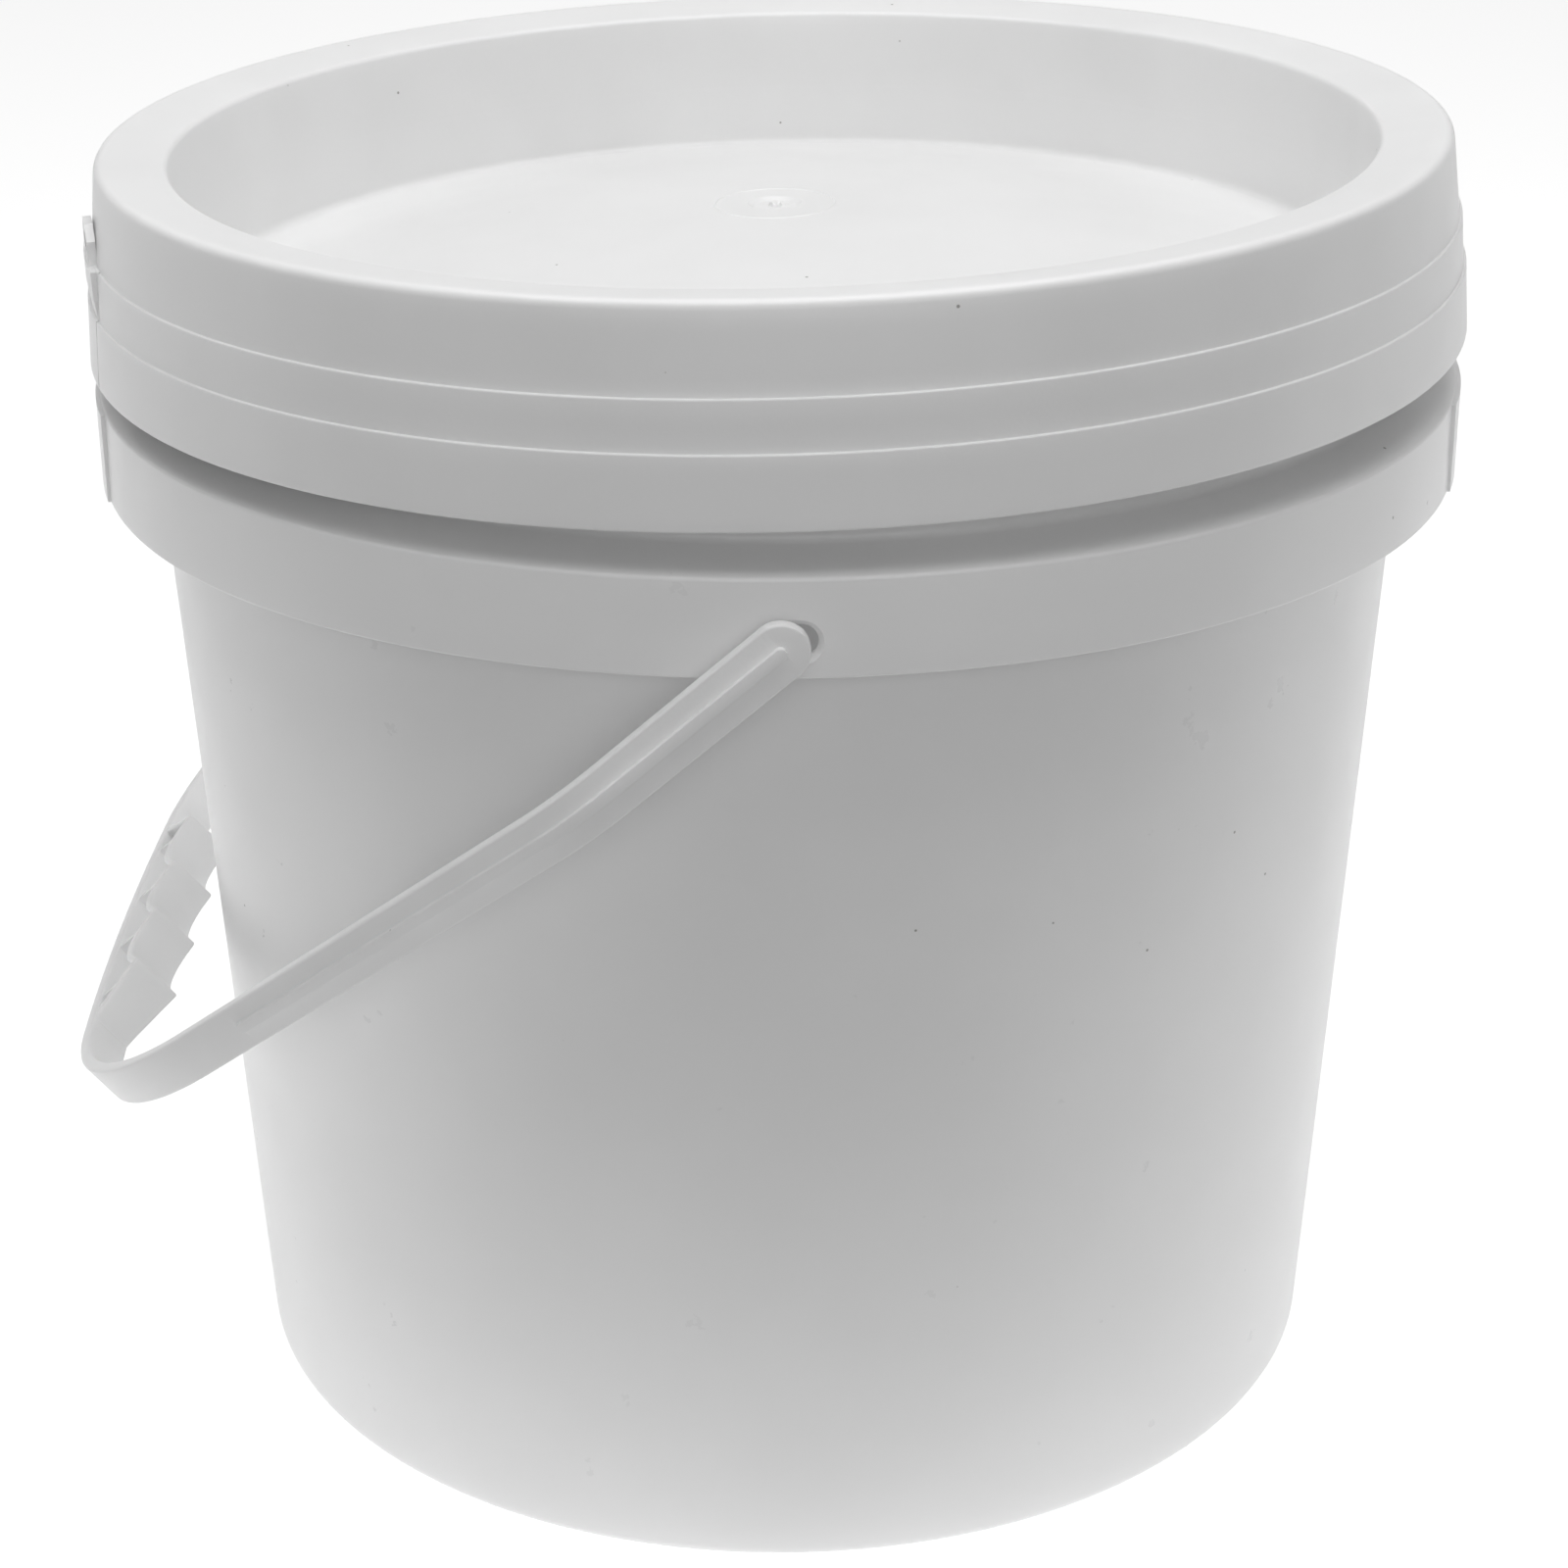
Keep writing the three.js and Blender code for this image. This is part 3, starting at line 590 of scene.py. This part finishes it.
def strap():
    h = handle
    fine, fineHeading, fineAlong, fineAcross = handlePath()
    half, ribHalf = h["width"] / 2, h["ribWidth"] / 2
    roundEnd = half * (1 - np.cos(np.linspace(0, math.pi / 2, 16)))
    ribStart = half - ribHalf * np.cos(np.linspace(0, math.pi / 2, 7))
    ribEndMiddle = np.interp(h["ribReach"], fineAlong, fine)
    ribEnd = ribEndMiddle + ribHalf * np.sin(np.linspace(0, math.pi / 2, 7)) * 1.15
    even = np.arange(half + h["stationStep"], fine[-1], h["stationStep"])
    stations = np.unique(np.round(np.r_[roundEnd, ribStart, ribEnd, even, fine[-1]], 3))
    heading = np.interp(stations, fine, fineHeading)
    along, across = np.interp(stations, fine, fineAlong), np.interp(stations, fine, fineAcross)

    taper = half + (h["gripWidth"] - h["width"]) / 2 * np.clip(along / h["ribReach"], 0, 1)
    beyond = np.clip(-along, 0, half)
    halfWidth = np.where(along < 0, np.sqrt(half ** 2 - beyond ** 2), taper)
    past = np.maximum(-along, along - h["ribReach"]).clip(0, ribHalf)
    inwards, width = strapSection(halfWidth, np.sqrt(ribHalf ** 2 - past ** 2))

    # point = place on the path + inwards * normal in plan, and width square to the plan
    x = along[:, None] - inwards * np.sin(heading)[:, None]
    y = across[:, None] + inwards * np.cos(heading)[:, None]
    front = np.stack([-x, y, width], axis=-1)
    back = front[-2::-1] * [1, -1, 1]
    return surface("strap", np.concatenate([front, back]))


def fingerPlate():
    # Three circular hollows of one pitch, side by side, with a ramp to the strap at each end.
    # The distance from the pivots is crest + arc depth, and the crests are eased over a short width.
    h = handle
    crest, halfPitch = h["reach"] - h["crestDepth"], h["fingerPitch"] / 2
    arcRadius = (halfPitch ** 2 + h["fingerDepth"] ** 2) / (2 * h["fingerDepth"])
    end = h["fingerPitch"] * h["fingerCount"] / 2
    y = np.linspace(-end - h["rampLength"], end + h["rampLength"], 361)
    fromMiddle = np.abs((y + halfPitch) % h["fingerPitch"] - halfPitch)
    fromCrest = halfPitch - fromMiddle
    eased = halfPitch - np.where(
        fromCrest < h["crestRound"], (fromCrest ** 2 / h["crestRound"] + h["crestRound"]) / 2, fromCrest)
    hollow = h["fingerDepth"] - arcRadius + np.sqrt(arcRadius ** 2 - eased ** 2)
    _, _, strapAlong, strapAcross = handlePath()
    strapInside = np.interp(-np.abs(y), strapAcross, strapAlong) - h["thickness"] + h["plateBite"]
    ramp = np.clip((np.abs(y) - end) / h["rampLength"], 0, 1)
    hand = np.where(ramp > 0, crest + ramp * (strapInside - crest), crest + hollow)
    far = np.minimum(hand + h["plateThickness"] * (1 + ramp), strapInside)

    # on the ramps the plate narrows to the strap's width
    edge = h["edge"]
    quarter = np.linspace(0, math.pi / 2, 5)
    depth = edge * (1 - np.cos(quarter)) / h["plateThickness"]
    shares = np.r_[depth, 1 - depth[::-1]]
    fromEdge = np.r_[1 - np.sin(quarter), 1 - np.sin(quarter[::-1])] * edge
    half = (h["plateWidth"] - (h["plateWidth"] - h["gripWidth"] + 2 * h["plateBite"]) * ramp[:, None]) / 2
    widths = half - fromEdge
    shares, widths = np.r_[shares, shares[::-1]], np.hstack([widths, -widths[:, ::-1]])
    u = hand[:, None] + (far - hand)[:, None] * shares
    return surface("fingerPlate", np.stack([-u, y[:, None] + 0 * u, widths], axis=-1))


def pocketRib(y):
    # an upright wall from the back of a crest to the middle of the strap
    h = handle
    _, _, strapAlong, strapAcross = handlePath()
    near = h["reach"] - h["crestDepth"] + h["plateThickness"] / 2
    far = np.interp(-abs(y), strapAcross, strapAlong) - h["thickness"] / 2
    w, t = (h["gripWidth"] - 1) / 2, h["pocketRib"] / 2
    outline = np.array([[-near, -w], [-near, w], [-far, w], [-far, -w]])
    layers = [np.c_[outline[:, 0], np.full(4, y + side), outline[:, 1]] for side in (-t, t)]
    return prism("pocketRib", np.array(layers))


def peg(side):
    # A turned pin across the collar's hole, with a flat head behind the collar's wall.
    h = handle
    face = collarOuter(pivotHeight)
    headOuter = face - bucket["collarWall"] - h["clearance"]
    outer = face + h["gap"] + h["thickness"] / 2
    headInner = headOuter - h["headThickness"]
    profile = roundCorners([
        (0, headInner), (h["headRadius"], headInner, h["headCorner"]),
        (h["headRadius"], headOuter, h["pegCorner"]), (h["pegRadius"], headOuter, h["pegCorner"]),
        (h["pegRadius"], outer), (0, outer)])
    grid = turnedGrid(profile, np.arange(h["pegSteps"]) * tau / h["pegSteps"])
    return surface("peg", np.stack([grid[..., 0], side * grid[..., 2], grid[..., 1]], axis=-1))


def makeHandle():
    h = handle
    piece = strap()
    piece.name = "handleStrap"
    crests = (np.arange(h["fingerCount"] + 1) - h["fingerCount"] / 2) * h["fingerPitch"]
    combine(piece, "UNION", [fingerPlate(), *[pocketRib(y) for y in crests], peg(-1), peg(1)])
    place = Matrix.Translation((0, 0, pivotHeight * metres))
    piece.data.transform(place @ Matrix.Rotation(-math.radians(h["restAngle"]), 4, "Y"))
    return piece


dress(makeBucket(), "bucket_body", "bucket",
      mouldedPolypropylene("polypropyleneMouldedGloss", bodyFinish))
dress(makeLid(), "lid", "lid",
      mouldedPolypropylene("polypropyleneMouldedSatin", lidFinish))
dress(makeHandle(), "handle", "handle",
      mouldedPolypropylene("polypropyleneMouldedFine", handleFinish))


# Camera and studio: a bright table that fades towards the camera, a softbox overhead and pale walls

view = {
    "place": (0, -0.66944, 0.40456), "pitch": 0.408372, "yaw": 0.000804, "roll": -0.0075604, "lens": 79.3,
}
studio = {
    "floorSize": 30, "floorColour": "#D6D6D6", "floorFrontColour": "#828282",
    "floorGlow": 0.62, "floorRoughness": 0.7, "fadeStart": -0.08, "fadeEnd": -0.28,
    "wallBack": 0.5, "wallFront": 0.12, "wallFade": (-0.1, 0.9), "ceiling": 0.42, "wallSeen": 0.9,
    "softboxSize": 1.1, "softboxPlace": (0, -0.04, 1.3), "softboxPower": 9.2,
    "fillSize": (1.2, 0.6), "fillPlace": (0, -1.25, 0.5), "fillPower": 3.3,
    "sideSize": (0.5, 1.2), "sidePlace": (1.1, 0.75, 0.45), "sidePower": 0.2,
}


def makeCamera():
    # The line of sight is turned by yaw and pitch, then the frame is rolled about it.
    sinYaw, cosYaw = math.sin(view["yaw"]), math.cos(view["yaw"])
    sinPitch, cosPitch = math.sin(view["pitch"]), math.cos(view["pitch"])
    sight = np.array([sinYaw * cosPitch, cosYaw * cosPitch, -sinPitch])
    right = np.array([cosYaw, -sinYaw, 0])
    up = np.cross(right, sight)
    sinRoll, cosRoll = math.sin(view["roll"]), math.cos(view["roll"])
    columns = [cosRoll * right + sinRoll * up, cosRoll * up - sinRoll * right, -sight, view["place"]]
    camera = bpy.data.objects.new("camera", bpy.data.cameras.new("camera"))
    camera.data.lens = view["lens"]
    camera.data.clip_start = 0.02
    camera.matrix_world = Matrix(np.vstack([np.array(columns).T, [0, 0, 0, 1]]).tolist())
    bpy.context.scene.collection.objects.link(camera)
    bpy.context.scene.camera = camera


def makeFloor():
    # Acrylic light table: matt white, with an even glow from below that fades towards the camera.
    half = studio["floorSize"] / 2
    corners = [(-half, -half, 0), (half, -half, 0), (half, half, 0), (-half, half, 0)]
    mesh = bpy.data.meshes.new("floor")
    mesh.from_pydata(corners, [], [(0, 1, 2, 3)])
    floor = bpy.data.objects.new("floor", mesh)
    bpy.context.scene.collection.objects.link(floor)
    material = bpy.data.materials.new("acrylicTable")
    material.use_nodes = True
    tree = material.node_tree
    tree.nodes.clear()
    place = addNode(tree, "ShaderNodeTexCoord").outputs["Object"]
    depth = addNode(tree, "ShaderNodeSeparateXYZ", {0: place}).outputs["Y"]
    reach = addNode(tree, "ShaderNodeMapRange", {
        "Value": depth, "From Min": studio["fadeEnd"], "From Max": studio["fadeStart"]},
        interpolation_type="SMOOTHSTEP").outputs["Result"]

    # the table looks evenly lit from everywhere, and only the light it throws on the object fades
    seen = addNode(tree, "ShaderNodeLightPath").outputs["Is Camera Ray"]
    lit = addNode(tree, "ShaderNodeMath", {0: reach, 1: seen}, operation="MAXIMUM").outputs[0]
    glow = addNode(tree, "ShaderNodeMath", {0: lit, 1: studio["floorGlow"]}, operation="MULTIPLY")
    colour = addNode(tree, "ShaderNodeMix", {
        "Factor": lit, 6: linear(studio["floorFrontColour"]), 7: linear(studio["floorColour"])},
        data_type="RGBA").outputs[2]
    shader = addNode(tree, "ShaderNodeBsdfPrincipled", {
        "Base Color": colour, "Roughness": studio["floorRoughness"], "Emission Color": (1, 1, 1, 1),
        "Emission Strength": glow.outputs[0]})
    addNode(tree, "ShaderNodeOutputMaterial", {"Surface": shader.outputs[0]})
    mesh.materials.append(material)


def makeWalls():
    # Pale walls all round, as bright as their direction says: dim before the object, bright behind.
    world = bpy.data.worlds.new("studio")
    bpy.context.scene.world = world
    world.use_nodes = True
    tree = world.node_tree
    tree.nodes.clear()
    direction = addNode(tree, "ShaderNodeTexCoord").outputs["Generated"]
    axes = addNode(tree, "ShaderNodeSeparateXYZ", {0: direction}).outputs
    walls = addNode(tree, "ShaderNodeMapRange", {
        "Value": axes["Y"], "From Min": studio["wallFade"][0], "From Max": studio["wallFade"][1],
        "To Min": studio["wallFront"], "To Max": studio["wallBack"]}, interpolation_type="SMOOTHSTEP")
    whole = addNode(tree, "ShaderNodeMapRange", {
        "Value": axes["Z"], "From Min": 0.3, "From Max": 1,
        "To Min": walls.outputs["Result"], "To Max": studio["ceiling"]})
    seen = addNode(tree, "ShaderNodeLightPath").outputs["Is Camera Ray"]
    strength = addNode(tree, "ShaderNodeMapRange", {
        "Value": seen, "To Min": whole.outputs["Result"], "To Max": studio["wallSeen"]}).outputs["Result"]
    light = addNode(tree, "ShaderNodeBackground", {"Color": (1, 1, 1, 1), "Strength": strength})
    addNode(tree, "ShaderNodeOutputWorld", {"Surface": light.outputs[0]})


def areaLight(name, place, size, power, target=(0, 0, 0.12)):
    light = bpy.data.lights.new(name, "AREA")
    light.shape = "RECTANGLE"
    light.size, light.size_y = size
    light.energy = power
    lamp = bpy.data.objects.new(name, light)
    bpy.context.scene.collection.objects.link(lamp)
    backwards = np.array(place) - target
    lamp.location = place
    lamp.rotation_euler = Vector(backwards).to_track_quat("Z", "Y").to_euler()


def makeStudio():
    makeFloor()
    makeWalls()
    areaLight("softbox", studio["softboxPlace"], (studio["softboxSize"],) * 2, studio["softboxPower"])
    areaLight("frontFill", studio["fillPlace"], studio["fillSize"], studio["fillPower"])
    for side in (-1, 1):
        x, y, z = studio["sidePlace"]
        areaLight("sideStrip", (side * x, y, z), studio["sideSize"], studio["sidePower"])


makeCamera()
makeStudio()
bpy.context.scene.view_settings.view_transform = "Standard"
print("camera, table and lights set")
